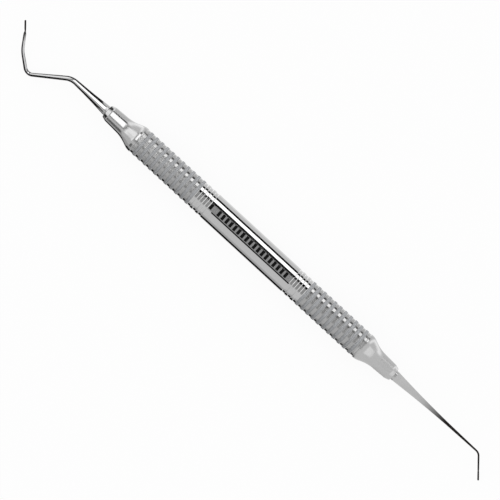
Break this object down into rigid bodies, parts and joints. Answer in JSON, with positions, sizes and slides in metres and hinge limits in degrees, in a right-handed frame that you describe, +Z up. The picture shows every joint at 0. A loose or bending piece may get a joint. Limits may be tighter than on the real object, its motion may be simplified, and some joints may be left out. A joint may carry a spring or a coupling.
{
  "type": "dental explorer",
  "caption": "Double-ended dental hand instrument: hollow ring-grooved steel grip, turned ferrules, a contra-angled end and a slender straight-shank end.",
  "frame": {"origin": "middle of the handle, on its axis", "axes": "+X along the handle towards the straight-shank end B; +Z up when the explorer lies on a table at Z = -4 mm; both ends bend towards -Y and, except for the tip of end A, down"},
  "size_m": [0.1746, 0.0114, 0.008],
  "materials": {
    "handle_steel": "polished tube and ring grooves, finely knurled lands between the grooves",
    "ferrule_steel": "fine-turned satin",
    "tip_steel": "ground and polished, a little darker along the bends",
    "braze_filler": "pale matt brazing filler"
  },
  "bodies": {
    "root": {"grip_tube": "handle_steel", "ferrule_a": "ferrule_steel", "ferrule_b": "ferrule_steel", "explorer_end_a": "tip_steel", "explorer_end_b": "tip_steel", "spigot_braze_ring_a": "braze_filler", "spigot_braze_ring_b": "braze_filler", "tang_braze_ring_a": "braze_filler", "tang_braze_ring_b": "braze_filler"}
  },
  "joints": []
}
